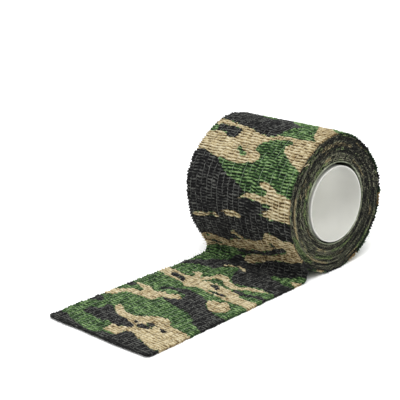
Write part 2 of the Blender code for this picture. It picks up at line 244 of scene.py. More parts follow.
# Noises, each layer as (amount, scale along the tape, scale across it, seed)
PRINT_WOBBLE = [(0.32, 1.9, 1.7, 11), (0.22, 0.8, 0.7, 12)]
PRINT_SHIFT_S = [(0.35, 1.4, 1.6, 13)]
PRINT_SHIFT_V = [(0.35, 1.4, 1.6, 14)]
COLUMN_WANDER = [(0.07, 4, 3, 21)]
ROW_WANDER = [(0.45, 11, 9, 22), (0.30, 2.6, 2.2, 23)]
PUFF_GRAIN = [(0.20, 1.1, 1.1, 26), (0.24, 0.5, 0.7, 27)]
CREASE_GRAIN = [(0.35, 1, 0.9, 28)]
EDGE_WANDER = [(0.24, 1.3, 1, 31), (0.14, 0.6, 1, 32)]
END_BOW = [(0.25, 1, 9, 33), (0.15, 1, 0.9, 34)]
THREAD_SWAY = [(0.09, 3, 1, 42)]
WOUND_GRIT = [(0.25, 0.5, 0.4, 54), (0.14, 0.9, 0.8, 60)]
WOUND_SPECKS = [(0.8, 0.9, 0.45, 58), (0.5, 2.5, 0.5, 59)]


def smoothstep(low, high, x):
    t = np.clip((x - low) / (high - low), 0, 1)
    return t * t * (3 - 2 * t)


def bells(x, curves, period=None):
    """Sum of bell curves given as (place, reach, amount), repeating after a period if there is one."""
    total = np.zeros(np.shape(x))
    for place, reach, amount in curves:
        off = x - place
        if period:
            off = (off + period / 2) % period - period / 2
        total += amount * np.exp(-((off / reach) ** 2))
    return total


def hashed(ix, iy, seed):
    """A number from 0 to 1 for each pair of whole numbers."""
    n = ix.astype(np.int64) * HASH_FIRST + iy.astype(np.int64) * HASH_SECOND + seed * HASH_SEED
    n = (n ^ (n >> 13)) * HASH_MIX & HASH_BITS
    n = (n ^ (n >> 16)) * HASH_REMIX & HASH_BITS
    return ((n ^ (n >> 15)) & RESULT_BITS) / float(RESULT_BITS)


def noise(s, v, s_scale, v_scale, seed):
    """Smooth noise from -1 to 1 that repeats after one turn of the roll."""
    cells = max(1, round(CIRCUMFERENCE / s_scale))
    x = s * cells / CIRCUMFERENCE
    y = v / v_scale
    x0 = np.floor(x)
    y0 = np.floor(y)
    fx = x - x0
    fy = y - y0
    fx = fx * fx * (3 - 2 * fx)
    fy = fy * fy * (3 - 2 * fy)
    x1 = (x0 + 1) % cells
    x0 = x0 % cells
    low = hashed(x0, y0, seed) * (1 - fx) + hashed(x1, y0, seed) * fx
    high = hashed(x0, y0 + 1, seed) * (1 - fx) + hashed(x1, y0 + 1, seed) * fx
    return (low * (1 - fy) + high * fy) * 2 - 1


def layered(s, v, layers, base=0):
    """The base with some layers of noise added to it."""
    for amount, s_scale, v_scale, seed in layers:
        base = base + amount * noise(s, v, s_scale, v_scale, seed)
    return base


def smooth_outline(points):
    """The closed Catmull-Rom curve through the points."""
    p = np.array(points, float)
    before, after, beyond = np.roll(p, 1, 0), np.roll(p, -1, 0), np.roll(p, -2, 0)
    curve = []
    for t in np.arange(OUTLINE_STEPS) / OUTLINE_STEPS:
        curve.append(
            0.5 * (2 * p + (after - before) * t + (2 * before - 5 * p + 4 * after - beyond) * t**2
                   + (3 * p - before - 3 * after + beyond) * t**3)
        )
    return np.stack(curve, 1).reshape(-1, 2)


def depth_inside(outline, s, v):
    """Distance to the outline's edge, positive inside, for points near it."""
    inside = np.zeros(s.shape, bool)
    nearest = np.full(s.shape, EDGE_REACH**2)
    ends = np.roll(outline, -1, 0)
    for (s0, v0), (s1, v1) in zip(outline, ends):
        ds, dv = s1 - s0, v1 - v0
        t = np.clip(((s - s0) * ds + (v - v0) * dv) / max(ds * ds + dv * dv, 1e-9), 0, 1)
        nearest = np.minimum(nearest, (s0 + t * ds - s) ** 2 + (v0 + t * dv - v) ** 2)
        if v0 != v1:
            crosses = (v0 > v) != (v1 > v)
            inside ^= crosses & (s < s0 + (v - v0) * ds / dv)
    return np.where(inside, 1, -1) * np.sqrt(nearest)


def printed_patches():
    """Every patch with its outline, with the ones that the second half of the roll's outside repeats."""
    for colour, points in PATCHES:
        outline = smooth_outline(points)
        yield colour, outline
        again = outline + (CIRCUMFERENCE, 0)
        if outline[:, 0].max() < PEEL_S - SEAM_MARGIN:
            yield colour, again * (1, -1)
        elif outline[:, 0].min() < PEEL_S + SEAM_MARGIN:
            yield colour, again


ALL_PATCHES = list(printed_patches())


def print_at(s, v):
    """How deep each point is inside tan and inside dark, in millimetres, negative outside."""
    wobble = layered(s, v, PRINT_WOBBLE)
    ws = layered(s, v, PRINT_SHIFT_S, s)
    wv = layered(s, v, PRINT_SHIFT_V, v)
    tan = np.full(s.shape, -EDGE_REACH)
    dark = np.full(s.shape, -EDGE_REACH)
    for colour, outline in ALL_PATCHES:
        low = outline.min(0) - EDGE_REACH
        high = outline.max(0) + EDGE_REACH
        near = (ws > low[0]) & (ws < high[0]) & (wv > low[1]) & (wv < high[1])
        if not near.any():
            continue
        depth = depth_inside(outline, ws[near], wv[near])
        tan[near] = np.maximum(tan[near], depth) if colour == "tan" else np.minimum(tan[near], -depth)
        dark[near] = np.maximum(dark[near], depth) if colour == "dark" else np.minimum(dark[near], -depth)
    return tan + wobble, dark + wobble


# -------- the crinkled surface


def crinkle(s, v):
    """Height of the puffed web from 0, in a crease, to 1, on a ridge."""
    column = layered(s, v, COLUMN_WANDER, (v - THREAD_FIRST) / THREAD_PITCH)
    cell_v = np.floor(column)
    across = 4 * (column - cell_v) * (1 - (column - cell_v))
    row = layered(s, v, ROW_WANDER, s / ROW_PITCH)
    row = row + 0.30 * hashed(cell_v, cell_v * 0, 24) + 0.10 * across
    crease = np.round(row)
    off_crease = np.abs(row - crease) * ROW_PITCH
    depth = 0.15 + 0.85 * hashed(crease % ROWS_PER_TURN, cell_v, 25)
    width = CREASE_WIDTH * layered(s, v, CREASE_GRAIN, 1)
    cut = np.exp(-((off_crease / width) ** 2)) * depth * (0.30 + 0.70 * across**0.6)
    ridge = np.sin(math.pi * (row - crease)) ** 2 * (0.4 + 0.6 * across)
    puff = 0.6 + 0.8 * hashed(np.floor(row) % ROWS_PER_TURN, cell_v, 29)
    lift = MEAN_LIFT + RIDGE_LIFT * ridge * puff - CREASE_DROP * cut
    return np.clip(layered(s, v, PUFF_GRAIN, lift), 0, 1)


def out_of_round(angle, v):
    """How far the roll's outside lies within its circle."""
    share = smoothstep(-HALF_WIDTH, -HALF_WIDTH + NEAR_END_REACH, v)
    insets = [(place, spread, near + (far - near) * share) for place, spread, near, far in OUT_OF_ROUND]
    return bells(np.degrees(angle), insets, 360)


def tape_frame(s, v):
    """Position (x, z) and outward normal (x, z) of the printed side, all in millimetres, at each (s, v)."""
    s = np.asarray(s, float)
    v = np.broadcast_to(v, s.shape)
    x = TAIL_END_X + s
    z = TAPE_THICKNESS + END_CURL * np.clip(1 - s / END_CURL_REACH, 0, 1) ** 2
    nx = np.zeros(s.shape)
    nz = np.ones(s.shape)
    bend = (s >= BEND_START) & (s < STRAIGHT_START)
    angle = -math.pi / 2 + (s[bend] - BEND_START) / BEND_RADIUS
    x[bend] = BEND_X + BEND_RADIUS * np.cos(angle)
    z[bend] = BEND_Z + BEND_RADIUS * np.sin(angle)
    nx[bend] = -np.cos(angle)
    nz[bend] = -np.sin(angle)
    straight = (s >= STRAIGHT_START) & (s < PEEL_S)
    left = PEEL_S - s[straight]
    x[straight] = ROLL_X + ROLL_RADIUS * math.cos(PEEL_ANGLE) - math.sin(PEEL_ANGLE) * left
    z[straight] = ROLL_Z + ROLL_RADIUS * math.sin(PEEL_ANGLE) + math.cos(PEEL_ANGLE) * left
    nx[straight] = math.cos(PEEL_ANGLE)
    nz[straight] = math.sin(PEEL_ANGLE)
    roll = s >= PEEL_S
    angle = PEEL_ANGLE - (s[roll] - PEEL_S) / ROLL_RADIUS
    radius = ROLL_RADIUS - out_of_round(angle, v[roll])
    x[roll] = ROLL_X + radius * np.cos(angle)
    z[roll] = ROLL_Z + radius * np.sin(angle)
    nx[roll] = np.cos(angle)
    nz[roll] = np.sin(angle)
    return x, z, nx, nz


def on_tape(s, v, rise, lowest=FLOOR_GAP):
    """Points at tape coordinates (s, v), raised along the printed side's normal but kept off the floor."""
    x, z, nx, nz = tape_frame(s, v)
    return np.stack([x + nx * rise, v, np.maximum(z + nz * rise, lowest)], -1)


# -------- meshes


def link(obj):
    bpy.context.scene.collection.objects.link(obj)
    return obj


def make_object(name, points, faces, material, attributes=None):
    """A smooth-shaded mesh object from points in millimetres, with float or vector point attributes."""
    mesh = bpy.data.meshes.new(name)
    mesh.from_pydata([tuple(p) for p in (np.asarray(points) * MM)], [], faces)
    mesh.update()
    mesh.shade_smooth()
    for label, values in (attributes or {}).items():
        values = np.asarray(values, np.float32)
        if values.ndim == 2:
            layer = mesh.attributes.new(label, "FLOAT_VECTOR", "POINT")
            layer.data.foreach_set("vector", values.ravel())
        else:
            layer = mesh.attributes.new(label, "FLOAT", "POINT")
            layer.data.foreach_set("value", values)
    mesh.materials.append(material)
    return link(bpy.data.objects.new(name, mesh))


def grid_faces(numbers, flip=False):
    """Quads between points whose numbers are laid out as a grid."""
    corners = numbers[:-1, :-1], numbers[:-1, 1:], numbers[1:, 1:], numbers[1:, :-1]
    quads = np.stack(corners, -1).reshape(-1, 4)
    return (quads[:, ::-1] if flip else quads).tolist()


def tube_faces(rings, sides, closed=False, start=0):
    """Faces of a tube whose points are numbered ring by ring, with caps unless it closes on itself."""
    numbers = start + np.arange(rings * sides).reshape(rings, sides)
    numbers = np.hstack([numbers, numbers[:, :1]])
    if closed:
        return grid_faces(np.vstack([numbers, numbers[:1]]), flip=True)
    return grid_faces(numbers, flip=True) + [numbers[0, :-1].tolist(), numbers[-1, -2::-1].tolist()]


def rim_faces(fine, coarse, flip=False):
    """Joins a fine border to a coarse one, BACK_RATIO fine edges to each coarse edge."""
    fine, coarse = fine.tolist(), coarse.tolist()
    faces = []
    for k in range(len(coarse) - 1):
        face = (*fine[k * BACK_RATIO:(k + 1) * BACK_RATIO + 1], coarse[k + 1], coarse[k])
        faces.append(face[::-1] if flip else face)
    return faces


def thinned(values):
    """A fine grid's values at the points of the coarse grid behind it."""
    return values[::BACK_RATIO, ::BACK_RATIO]


def closed_sheet(name, top, back, material, values, back_lift=1, ring=False):
    """A thin closed body: a fine top grid, a coarse back grid, and a rim between their borders."""
    fine = np.arange(top[..., 0].size).reshape(top.shape[:2])
    coarse = np.arange(back[..., 0].size).reshape(back.shape[:2]) + fine.size
    if ring:
        fine = np.vstack([fine, fine[:1]])
        coarse = np.vstack([coarse, coarse[:1]])
    faces = grid_faces(fine, flip=True) + grid_faces(coarse)
    faces += rim_faces(fine[:, 0], coarse[:, 0], flip=True) + rim_faces(fine[:, -1], coarse[:, -1])
    if not ring:
        faces += rim_faces(fine[0], coarse[0]) + rim_faces(fine[-1], coarse[-1], flip=True)
    points = np.concatenate([top.reshape(-1, 3), back.reshape(-1, 3)])
    attributes = {}
    for label, value in values.items():
        behind = thinned(value) * (back_lift if label == "lift" else 1)
        attributes[label] = np.concatenate([part.reshape(-1, *value.shape[2:]) for part in (value, behind)])
    return make_object(name, points, faces, material, attributes)


def whole_steps(length, step):
    """The number of steps of about this size that fill a length, as a multiple of BACK_RATIO."""
    return BACK_RATIO * round(length / step / BACK_RATIO)


def lathe(name, far_half, material, centre, segments=240):
    """A closed ring turned about the roll's axis from the far half of its profile, as (radius, y) listed
    clockwise, and the same half mirrored."""
    profile = far_half + [(radius, -y) for radius, y in reversed(far_half)]
    angles = np.arange(segments) * TAU / segments
    r, y = np.array(profile, float).T
    x, z = centre
    places = [x + np.outer(np.cos(angles), r), np.tile(y, (segments, 1)), z + np.outer(np.sin(angles), r)]
    faces = tube_faces(segments, len(profile), closed=True)
    return make_object(name, np.stack(places, -1).reshape(-1, 3), faces, material)


def tube(name, centres, radius, material, attributes, sides=5, closed=False):
    """A round thread along a line of points that keeps to one y plane."""
    if closed:
        along = np.roll(centres, -1, 0) - np.roll(centres, 1, 0)
    else:
        along = np.gradient(centres, axis=0)
    along /= np.linalg.norm(along, axis=1, keepdims=True)
    up = np.cross((0, 1, 0), along)
    up /= np.linalg.norm(up, axis=1, keepdims=True)
    side = np.cross(along, up)
    angles = np.arange(sides) * TAU / sides
    rings = (centres[:, None] + radius * (np.cos(angles)[None, :, None] * side[:, None]
                                          + np.sin(angles)[None, :, None] * up[:, None]))
    faces = tube_faces(len(centres), sides, closed)
    spread = {label: np.repeat(values, sides, 0) for label, values in attributes.items()}
    return make_object(name, rings.reshape(-1, 3), faces, material, spread)


# -------- materials

# Every display colour of the tape is darkened by this, because the lights are set to keep the floor white
DYE_SHADE = 0.83


def srgb(red, green, blue):
    """A colour given as 0-255 display values, as the linear colour that Blender works in."""
    def linear(value):
        value /= 255
        return value / 12.92 if value <= 0.04045 else ((value + 0.055) / 1.055) ** 2.4
    return (linear(red), linear(green), linear(blue), 1)


def dye(red, green, blue):
    """A display colour of the tape as a linear colour, darkened."""
    return (*(DYE_SHADE * value for value in srgb(red, green, blue)[:3]), 1)


class Nodes:
    """A material's node tree, built by short calls."""

    def __init__(self, name):
        self.material = bpy.data.materials.new(name)
        self.material.use_nodes = True
        self.tree = self.material.node_tree
        self.shader = self.tree.nodes["Principled BSDF"]

    def add(self, kind, settings=None, **inputs):
        node = self.tree.nodes.new("ShaderNode" + kind)
        for key, value in (settings or {}).items():
            setattr(node, key, value)
        for key, value in inputs.items():
            self.feed(node, key, value)
        return node

    def feed(self, node, key, value):
        socket = node.inputs[int(key[1:]) if key[0] == "_" else key.replace("_", " ")]
        if isinstance(value, bpy.types.NodeSocket):
            self.tree.links.new(value, socket)
        else:
            socket.default_value = value

    def math(self, operation, a, b=0.0, c=0.0, clamp=False):
        return self.add("Math", {"operation": operation, "use_clamp": clamp}, _0=a, _1=b, _2=c).outputs[0]

    def attribute(self, name, output="Fac"):
        return self.add("Attribute", {"attribute_name": name}).outputs[output]

    def vary(self, base, noise, amount, clamp=False):
        """The base, raised and lowered by this much times a noise."""
        return self.math("MULTIPLY_ADD", self.math("SUBTRACT", noise, 0.5), amount, base, clamp)

    def noise(self, vector, scale, detail=2.0, roughness=0.5, distortion=0.0):
        """Noise of one scale, or of one scale for each axis."""
        if isinstance(scale, tuple):
            vector = self.add("VectorMath", {"operation": "MULTIPLY"}, _0=vector, _1=scale).outputs[0]
            scale = 1.0
        node = self.add("TexNoise", Vector=vector, Scale=scale, Detail=detail, Roughness=roughness,
                        Distortion=distortion)
        return node.outputs["Fac"]

    def ramp(self, value, *stops):
        """A colour ramp through (position, colour) stops."""
        node = self.add("ValToRGB", Fac=value)
        elements = node.color_ramp.elements
        while len(elements) < len(stops):
            elements.new(0.5)
        for element, (position, colour) in zip(elements, stops):
            element.position = position
            element.color = colour
        return node.outputs["Color"]

    def mix(self, factor, a, b):
        node = self.add("Mix", {"data_type": "RGBA"}, Factor=factor)
        self.tree.links.new(a, node.inputs[6])
        self.tree.links.new(b, node.inputs[7])
        return node.outputs[2]

    def range(self, value, low, high, to_low=0.0, to_high=1.0):
        node = self.add("MapRange", {"interpolation_type": "SMOOTHSTEP"}, Value=value)
        for key, number in zip(("From Min", "From Max", "To Min", "To Max"), (low, high, to_low, to_high)):
            node.inputs[key].default_value = number
        return node.outputs["Result"]

    def from_middle(self, place):
        """Distance from the middle of the roll's width."""
        return self.math("ABSOLUTE", self.add("SeparateXYZ", _0=place).outputs["Y"])

    def bump(self, height, distance, strength):
        return self.add("Bump", Height=height, Distance=distance, Strength=strength).outputs["Normal"]

    def surface(self, colour, roughness, normal=None, **constants):
        self.feed(self.shader, "Base Color", colour)
        self.feed(self.shader, "Roughness", roughness)
        if normal is not None:
            self.feed(self.shader, "Normal", normal)
        for key, value in constants.items():
            self.feed(self.shader, key, value)
        return self.material


# How far the dyes run into each other in the shader, and how strongly its noises change the tone
PRINT_BLUR = 0.10
FINE_CONTRAST = 1.10
STRAND_CONTRAST = 0.75
CLOUD_CONTRAST = 0.24
THREAD_BLUR = 0.2


def web_material(name, green, tan, dark, fray=0.22, grain=1.0, contrast=1.0):
    """The crinkled web: three dyes, each a ramp of (tone, red, green, blue) from creases to ridges, whose
    low stops are partly the dye and partly painted shade in the creases, and whose top stops are partly pale
    fibres and partly painted highlights on the ridges.
    """
    n = Nodes(name)
    tape = n.attribute("tape", "Vector")
    lift = n.attribute("lift")
    fine = n.noise(tape, (2.6 * grain, 1.6 * grain, 1.0), 4.0, 0.65, 0.4)
    strand = n.noise(tape, (5.0 * grain, 2.2 * grain, 1.0), 2.0, 0.55, 1.2)
    cloud = n.noise(tape, 0.16)
    fray_noise = n.math("MULTIPLY", n.math("SUBTRACT", strand, 0.5), fray * 4)
    in_tan, in_dark = [n.range(n.math("ADD", n.attribute(dyed), fray_noise), -PRINT_BLUR, PRINT_BLUR)
                       for dyed in ("tan", "dark")]
    # painted shade and highlight: the tone follows the crinkle's lift, dark in the creases and bright on the
    # ridges
    tone = n.vary(lift, fine, FINE_CONTRAST * contrast)
    tone = n.vary(tone, strand, STRAND_CONTRAST * contrast)
    tone = n.vary(tone, cloud, CLOUD_CONTRAST, clamp=True)
    on_green, on_tan, on_dark = [
        n.ramp(tone, *((place, dye(*rgb)) for place, *rgb in stops)) for stops in (green, tan, dark)
    ]
    colour = n.mix(in_dark, n.mix(in_tan, on_green, on_tan), on_dark)
    height = n.math("MULTIPLY_ADD", strand, 0.6, fine)
    return n.surface(colour, 0.94, n.bump(height, 0.00022, 0.8), Sheen_Weight=0.03, Sheen_Roughness=0.6,
                     Specular_IOR_Level=0.15)


def thread_material():
    """Pale elastic that has taken a little of the dye of the web it lies on."""
    n = Nodes("elastic_thread")
    tape = n.attribute("tape", "Vector")
    grime = n.noise(tape, (1.3, 1.0, 1.0), 3.0, 0.6)
    in_tan, in_dark = [n.range(n.attribute(dyed), -THREAD_BLUR, THREAD_BLUR) for dyed in ("tan", "dark")]
    on_green = n.ramp(grime, (0.3, dye(66, 92, 60)), (0.7, dye(150, 168, 138)))
    on_tan = n.ramp(grime, (0.3, dye(160, 144, 108)), (0.7, dye(216, 206, 178)))
    on_dark = n.ramp(grime, (0.3, dye(46, 47, 47)), (0.7, dye(124, 125, 120)))
    colour = n.mix(in_dark, n.mix(in_tan, on_green, on_tan), on_dark)
    twist = n.noise(tape, (9.0, 9.0, 1.0))
    return n.surface(colour, 0.6, n.bump(twist, 0.00004, 0.6), Specular_IOR_Level=0.3)


def plastic_material():
    """Moulded polypropylene: faint drawing lines along the bore and a little mottling, with painted light
    deep in the bore and painted shade towards its mouths.
    """
    n = Nodes("core_plastic")
    place = n.add("TexCoord").outputs["Object"]
    lines = n.noise(place, (520.0, 9.0, 520.0))
    mottle = n.noise(place, 60.0, 3.0)
    tone = n.vary(mottle, lines, 0.35)
    # Painted light towards the middle of the width and painted shade towards the rims, so the bore's inside
    # looks evenly lit
    deep_painted_light = n.ramp(tone, (0.2, srgb(242, 242, 237)), (0.8, srgb(247, 247, 242)))
    mouth_painted_shade = n.ramp(tone, (0.2, srgb(182, 182, 176)), (0.8, srgb(190, 190, 184)))
    along = n.from_middle(place)
    rim = (HALF_WIDTH - 0.5) * MM
    colour = n.mix(n.range(along, 0.3 * rim, rim), deep_painted_light, mouth_painted_shade)
    roughness = n.range(tone, 0.2, 0.8, 0.46, 0.58)
    return n.surface(colour, roughness, n.bump(lines, 0.00004, 0.35))


def liner_material():
    """The start of the tape on the core: bare backing gone grey-green with the dye of the first wrap,
    painted dark away from its lip as the shade of the gap it lines.
    """
    n = Nodes("liner_paper")
    place = n.add("TexCoord").outputs["Object"]
    fibre = n.noise(place, (1400.0, 500.0, 1400.0), 3.0, 0.6)
    stain = n.noise(place, 130.0, 3.0, 0.6)
    tone = n.vary(stain, fibre, 0.5)
    edge = n.ramp(tone, (0.25, dye(64, 70, 54)), (0.5, dye(128, 134, 112)), (0.8, dye(200, 204, 186)))
    # painted shade: the liner darkens away from its lip, into the gap between core and wraps
    inside = n.ramp(tone, (0.25, dye(20, 24, 18)), (0.5, dye(48, 54, 42)), (0.8, dye(104, 110, 92)))
    along = n.from_middle(place)
    colour = n.mix(n.range(along, liner_high.y - 0.5 * MM, liner_high.y - 0.2 * MM), inside, edge)
    return n.surface(colour, 0.85, n.bump(fibre, 0.0001, 0.6), Specular_IOR_Level=0.2)


PRINTED_WEB = web_material(
    "printed_web",
    green=[(0, 5, 15, 7), (0.32, 18, 37, 17), (0.62, 57, 88, 43), (1, 140, 168, 112)],
    tan=[(0, 62, 46, 26), (0.24, 118, 98, 64), (0.52, 180, 164, 124), (1, 218, 208, 178)],
    dark=[(0, 2, 2, 2), (0.40, 9, 9, 10), (0.64, 25, 26, 26), (1, 92, 93, 88)],
)
BACK_WEB = web_material(
    "back_web",
    green=[(0, 16, 28, 16), (0.35, 42, 70, 38), (0.68, 74, 110, 62), (1, 136, 164, 112)],
    tan=[(0, 84, 64, 42), (0.35, 148, 126, 92), (0.68, 190, 172, 134), (1, 224, 212, 184)],
    dark=[(0, 10, 10, 10), (0.42, 26, 26, 25), (0.76, 50, 50, 47), (1, 116, 116, 104)],
)
# The ends' ramps run darker than the print's: partly the edge-on fibres, partly painted shade over the end
# faces and in the grooves between wraps
WOUND_EDGE = web_material(
    "wound_edge",
    green=[(0, 6, 10, 6), (0.32, 22, 32, 18), (0.60, 50, 66, 38), (1, 124, 140, 92)],
    tan=[(0, 18, 15, 10), (0.30, 50, 45, 31), (0.60, 98, 89, 65), (1, 168, 154, 118)],
    dark=[(0, 3, 3, 3), (0.36, 11, 11, 10), (0.64, 30, 31, 26), (1, 118, 118, 98)],
    fray=0.9, grain=0.32, contrast=3.0,
)
ELASTIC_THREAD = thread_material()
CORE_PLASTIC = plastic_material()
LINER_PAPER = liner_material()

# -------- the tape that has been pulled off

# The free end has rounded corners and is cut a little back and askew
NEAR_CORNER = 1.6
FAR_CORNER = 2.1
END_BOW_REACH = 3
END_PULL = 0.30
END_SKEW = 0.22

# The cut edges: how far in they change the web, and how far they stand out
CORNER_REACH = 9
EDGE_WIDTH = 0.6
EDGE_DROP = 0.06
EDGE_STANDOUT = 0.10

# More of the far edge's standing out, or in where it is minus: place along the tape, reach, amount
FAR_EDGE_FLARE = [(12, 10, 0.85), (63, 14, -1.35)]

# Levels below the printed side: the face web's underside and the back web's upper side, which keep
# apart on the open web and nearly meet at the edges
FACE_FLOOR = -0.30
BACK_CEILING = -0.62
EDGE_MEETING = -0.46
EDGE_SLIT = 0.02

# The face stands a little higher just before the peel line, dips into the roll's outside there and runs
# on under it for the overlap
PEEL_RISE = 0.06
PEEL_DIP = 0.16
OVERLAP = 0.6

# What is left of the lift, and so of the tone, on a web's hidden side
BACK_LIFT = 0.3

# The back web: its crinkle, where it starts, its coarser grid, and how far clear of the roll it ends
BACK_RELIEF = 0.18
BACK_EDGE_RISE = 0.12
BACK_START = 0.1
BACK_COARSENESS = 1.5
BACK_CLEARANCE = 0.25
BACK_END = PEEL_S - math.sqrt((ROLL_RADIUS + TAPE_THICKNESS + BACK_CLEARANCE) ** 2 - ROLL_RADIUS**2)


def cut_edge(s, side):
    """How far the cut edge wanders across the width, either way."""
    return layered(s, side, EDGE_WANDER) + EDGE_STANDOUT


def trimmed(s, v):
    """Grid points moved so that the free end has its rounded corners and its edges are a little ragged."""
    radius = np.where(v > 0, FAR_CORNER, NEAR_CORNER)
    missing = np.clip(1 - s / radius, 0, 1)
    inset = radius * (1 - np.sqrt(1 - missing**2))
    ragged = cut_edge(s, np.sign(v))
    flare = np.where(v > 0, bells(s, FAR_EDGE_FLARE), 0)
    near_side = smoothstep(HALF_WIDTH - CORNER_REACH, HALF_WIDTH, np.abs(v))
    new_v = v + np.sign(v) * near_side * (ragged + flare - inset)
    bow = layered(v * 0, v, END_BOW)
    return s + smoothstep(END_BOW_REACH, 0, s) * (bow - END_PULL + END_SKEW * v / HALF_WIDTH), new_v


def edge_teeth(s, side):
    """How far the rows of puffs stand up along a cut edge, from about -1 to 1."""
    rows = np.cos(TAU * s / ROW_PITCH + 2.2 * noise(s, side, 6, 1, 35))
    return 0.6 * rows + 0.7 * noise(s, side, 0.7, 1, 36)


def edge_share(s, v, has_end=True):
    """0 on the open web, rising to 1 on its cut edges."""
    share = smoothstep(HALF_WIDTH - EDGE_WIDTH, HALF_WIDTH, np.abs(v))
    if has_end:
        share = np.maximum(share, smoothstep(EDGE_WIDTH + 0.3, 0.3, s))
    return share


# Painted shade on the tan print, in the bend and on the roll's top: place along the tape, reach, and by how
# much it lowers the tan's tone
TAN_PAINTED_SHADE = [(83, 9, 0.24), (143, 10, 0.23)]


def tape_values(s, v, lift):
    """The attributes that the web material reads."""
    tan, dark = print_at(s, v)
    # painted shade: the tan's tone is lowered in the bend and on the roll's top
    lift = lift - bells(s, TAN_PAINTED_SHADE, CIRCUMFERENCE) * smoothstep(-0.2, 0.2, tan)
    return {"tan": tan, "dark": dark, "lift": lift, "tape": np.stack([s, v, np.zeros_like(s)], -1)}


def grid(s_low, s_high, rows, columns):
    along, across = np.linspace(s_low, s_high, rows + 1), np.linspace(-HALF_WIDTH, HALF_WIDTH, columns + 1)
    return np.meshgrid(along, across, indexing="ij")


def make_tape_face():
    """The printed web from the free end to the peel line, feathering into the roll's outside there."""
    rows = whole_steps(PEEL_S + OVERLAP, STEP_S)
    columns = whole_steps(2 * HALF_WIDTH, STEP_V)
    s, v = trimmed(*grid(0, PEEL_S + OVERLAP, rows, columns))
    lift = crinkle(s, v)
    edge = edge_share(s, v)
    rise = PUFF_HEIGHT * lift - PUFF_SINK - EDGE_DROP * edge**2
    rise = rise + PEEL_RISE * smoothstep(PEEL_S - 8, PEEL_S - 4, s)
    rise = rise - PEEL_DIP * smoothstep(PEEL_S - 0.3, PEEL_S + OVERLAP, s)
    top = on_tape(s, v, rise)
    back = on_tape(thinned(s), thinned(v), FACE_FLOOR + (EDGE_MEETING - FACE_FLOOR) * thinned(edge))
    return closed_sheet("tape_face", top, back, PRINTED_WEB, tape_values(s, v, lift), BACK_LIFT)


def make_tape_back():
    """The plain-side web under it, as far as the roll leaves room for it."""
    rows = whole_steps(BACK_END, BACK_COARSENESS * STEP_S)
    columns = whole_steps(2 * HALF_WIDTH, BACK_COARSENESS * STEP_V)
    s, v = trimmed(*grid(BACK_START, BACK_END, rows, columns))
    lift = crinkle(s + 0.5 * ROW_PITCH, v)
    edge = edge_share(s, v)
    outer = on_tape(s, v, -TAPE_THICKNESS + BACK_RELIEF * (1 - lift) + BACK_EDGE_RISE * edge**2)
    level = BACK_CEILING + (EDGE_MEETING - EDGE_SLIT - BACK_CEILING) * thinned(edge)
    inner = on_tape(thinned(s), thinned(v), level)
    obj = closed_sheet("tape_back", outer, inner, BACK_WEB, tape_values(s, v, lift))
    obj.data.flip_normals()
    return obj


THREAD_RADIUS = 0.105
THREAD_STEP = 0.3
THREAD_START = 0.7
THREAD_LIFT = 0.04
THREAD_DIVE = 0.19
THREAD_PROUD = 0.14
THREAD_SUNK = 0.09

TAPE_FIBRES = 1500
WRAP_FIBRES = 3200
FIBRE_RADIUS = 0.045
FIBRE_LENGTH = 0.9
FIBRE_POINTS = 4
FIBRE_SIDES = 3
FIBRE_ROOT = 0.08
FIBRE_SLANT = 0.6
FIBRES_AT_EDGES = 0.28
EDGE_BAND = 0.3
EDGE_SPLAY = 0.55


def thread_rise(s, v):
    """How far a thread's centre lies over the tape's mean surface: proud where the tape lies slack, and
    sunk in where it is pulled over the bend."""
    dive = THREAD_DIVE * smoothstep(0, 0.6, noise(s, v, 2.4, 1, 41))
    proud = THREAD_PROUD * smoothstep(BEND_START - 6, BEND_START - 26, s)
    sunk = THREAD_SUNK * smoothstep(BEND_START - 12, BEND_START, s) * smoothstep(PEEL_S, PEEL_S - 4, s)
    return PUFF_HEIGHT * crinkle(s, v) - PUFF_SINK + THREAD_LIFT - dive + proud - sunk


def thread_places():
    return [THREAD_FIRST + THREAD_PITCH * i for i in range(THREAD_COUNT)]


def make_thread(name, s, v, closed=False):
    straight = np.full(s.shape, v)
    v = layered(s, straight, THREAD_SWAY, straight)
    centres = on_tape(s, v, thread_rise(s, v), lowest=THREAD_RADIUS + FLOOR_GAP)
    return tube(name, centres, THREAD_RADIUS, ELASTIC_THREAD, tape_values(s, v, 0 * s), closed=closed)


def make_tape_thread(number, v):
    s = np.arange(THREAD_START, PEEL_S + OVERLAP, THREAD_STEP)
    return make_thread(f"tape_thread_{number:02d}", s, v)


